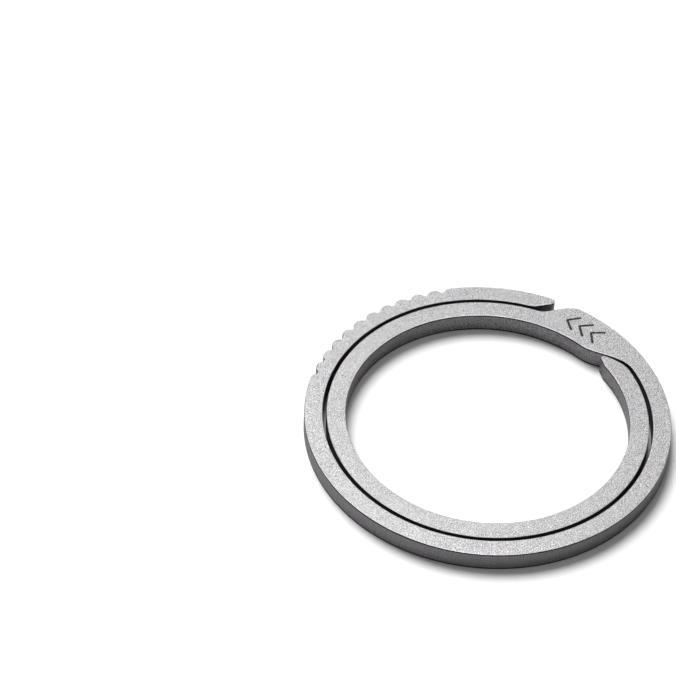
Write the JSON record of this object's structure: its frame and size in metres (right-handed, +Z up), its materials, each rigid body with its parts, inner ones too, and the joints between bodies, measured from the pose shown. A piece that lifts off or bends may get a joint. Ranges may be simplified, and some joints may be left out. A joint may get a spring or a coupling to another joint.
{
  "type": "split key ring",
  "caption": "Flat split key ring cut from one sheet: a wide bridge and two concentric fingers parted by a narrow slit; the ridged outer finger pushes sideways to take keys.",
  "frame": {"origin": "centre of the ring, on its underside", "axes": "+Z up through the ring's eye, normal to the sheet; the bridge's middle is 52 degrees counter-clockwise from +X, and the tips' gap is on the +Y side"},
  "size_m": [0.028, 0.028, 0.0016],
  "materials": {
    "blasted_titanium": "bead-blasted titanium, satin, with a faint sparkle"
  },
  "bodies": {
    "bridge": {"bridge": "blasted_titanium"},
    "outer_length_1": {"outer_length_1": "blasted_titanium"},
    "outer_length_2": {"outer_length_2": "blasted_titanium"},
    "outer_length_3": {"outer_length_3": "blasted_titanium"},
    "outer_length_4": {"outer_length_4": "blasted_titanium"},
    "thumb_grip": {"thumb_grip": "blasted_titanium"},
    "outer_tip": {"outer_tip": "blasted_titanium"},
    "inner_length_1": {"inner_length_1": "blasted_titanium"},
    "inner_length_2": {"inner_length_2": "blasted_titanium"},
    "inner_length_3": {"inner_length_3": "blasted_titanium"},
    "inner_length_4": {"inner_length_4": "blasted_titanium"},
    "inner_length_5": {"inner_length_5": "blasted_titanium"},
    "inner_tip": {"inner_tip": "blasted_titanium"}
  },
  "joints": [
    {"name": "outer_flex_1", "type": "hinge", "parent": "bridge", "child": "outer_length_1", "pos_m": [0.01233, 0.00498, 0.0008], "axis": [-0.3746, 0.9272, 0], "range_deg": [-3.2, 3.2], "stiffness_Nm_per_rad": 9.4},
    {"name": "outer_flex_2", "type": "hinge", "parent": "outer_length_1", "child": "outer_length_2", "pos_m": [0.0114, -0.00685, 0.0008], "axis": [0.515, 0.8572, 0], "range_deg": [-3.21, 3.21]},
    {"name": "outer_flex_3", "type": "hinge", "parent": "outer_length_2", "child": "outer_length_3", "pos_m": [0.00139, -0.01322, 0.0008], "axis": [0.9945, 0.1045, 0], "range_deg": [-3.21, 3.21]},
    {"name": "outer_flex_4", "type": "hinge", "parent": "outer_length_3", "child": "outer_length_4", "pos_m": [-0.00972, -0.00907, 0.0008], "axis": [0.682, -0.7314, 0], "range_deg": [-3.21, 3.21]},
    {"name": "outer_flex_5", "type": "hinge", "parent": "outer_length_4", "child": "thumb_grip", "pos_m": [-0.01309, 0.00231, 0.0008], "axis": [-0.1736, -0.9848, 0], "range_deg": [-3.53, 3.53]},
    {"name": "outer_flex_6", "type": "hinge", "parent": "thumb_grip", "child": "outer_tip", "pos_m": [-0.00254, 0.01305, 0.0008], "axis": [-0.9816, -0.1908, 0], "range_deg": [-2.92, 2.92]},
    {"name": "inner_flex_1", "type": "hinge", "parent": "bridge", "child": "inner_length_1", "pos_m": [0.00201, 0.0114, 0.0008], "axis": [-0.9848, 0.1736, 0], "range_deg": [-2.2, 2.2], "stiffness_Nm_per_rad": 11.6},
    {"name": "inner_flex_2", "type": "hinge", "parent": "inner_length_1", "child": "inner_length_2", "pos_m": [-0.00804, 0.00833, 0.0008], "axis": [-0.7193, -0.6947, 0], "range_deg": [-2.21, 2.21]},
    {"name": "inner_flex_3", "type": "hinge", "parent": "inner_length_2", "child": "inner_length_3", "pos_m": [-0.01146, -0.00161, 0.0008], "axis": [0.1392, -0.9903, 0], "range_deg": [-2.21, 2.21]},
    {"name": "inner_flex_4", "type": "hinge", "parent": "inner_length_3", "child": "inner_length_4", "pos_m": [-0.00543, -0.01022, 0.0008], "axis": [0.8829, -0.4695, 0], "range_deg": [-2.21, 2.21]},
    {"name": "inner_flex_5", "type": "hinge", "parent": "inner_length_4", "child": "inner_length_5", "pos_m": [0.00507, -0.0104, 0.0008], "axis": [0.8988, 0.4384, 0], "range_deg": [-2.21, 2.21]},
    {"name": "inner_flex_6", "type": "hinge", "parent": "inner_length_5", "child": "inner_tip", "pos_m": [0.0114, -0.00201, 0.0008], "axis": [0.1736, 0.9848, 0], "range_deg": [-2.1, 2.1]}
  ],
  "couplings": [
    {"joint": "outer_flex_2", "follows": "outer_flex_1", "ratio": 1},
    {"joint": "outer_flex_3", "follows": "outer_flex_1", "ratio": 1},
    {"joint": "outer_flex_4", "follows": "outer_flex_1", "ratio": 1},
    {"joint": "outer_flex_5", "follows": "outer_flex_1", "ratio": 1.1},
    {"joint": "outer_flex_6", "follows": "outer_flex_1", "ratio": 0.91},
    {"joint": "inner_flex_2", "follows": "inner_flex_1", "ratio": 1},
    {"joint": "inner_flex_3", "follows": "inner_flex_1", "ratio": 1},
    {"joint": "inner_flex_4", "follows": "inner_flex_1", "ratio": 1},
    {"joint": "inner_flex_5", "follows": "inner_flex_1", "ratio": 1},
    {"joint": "inner_flex_6", "follows": "inner_flex_1", "ratio": 0.95}
  ]
}
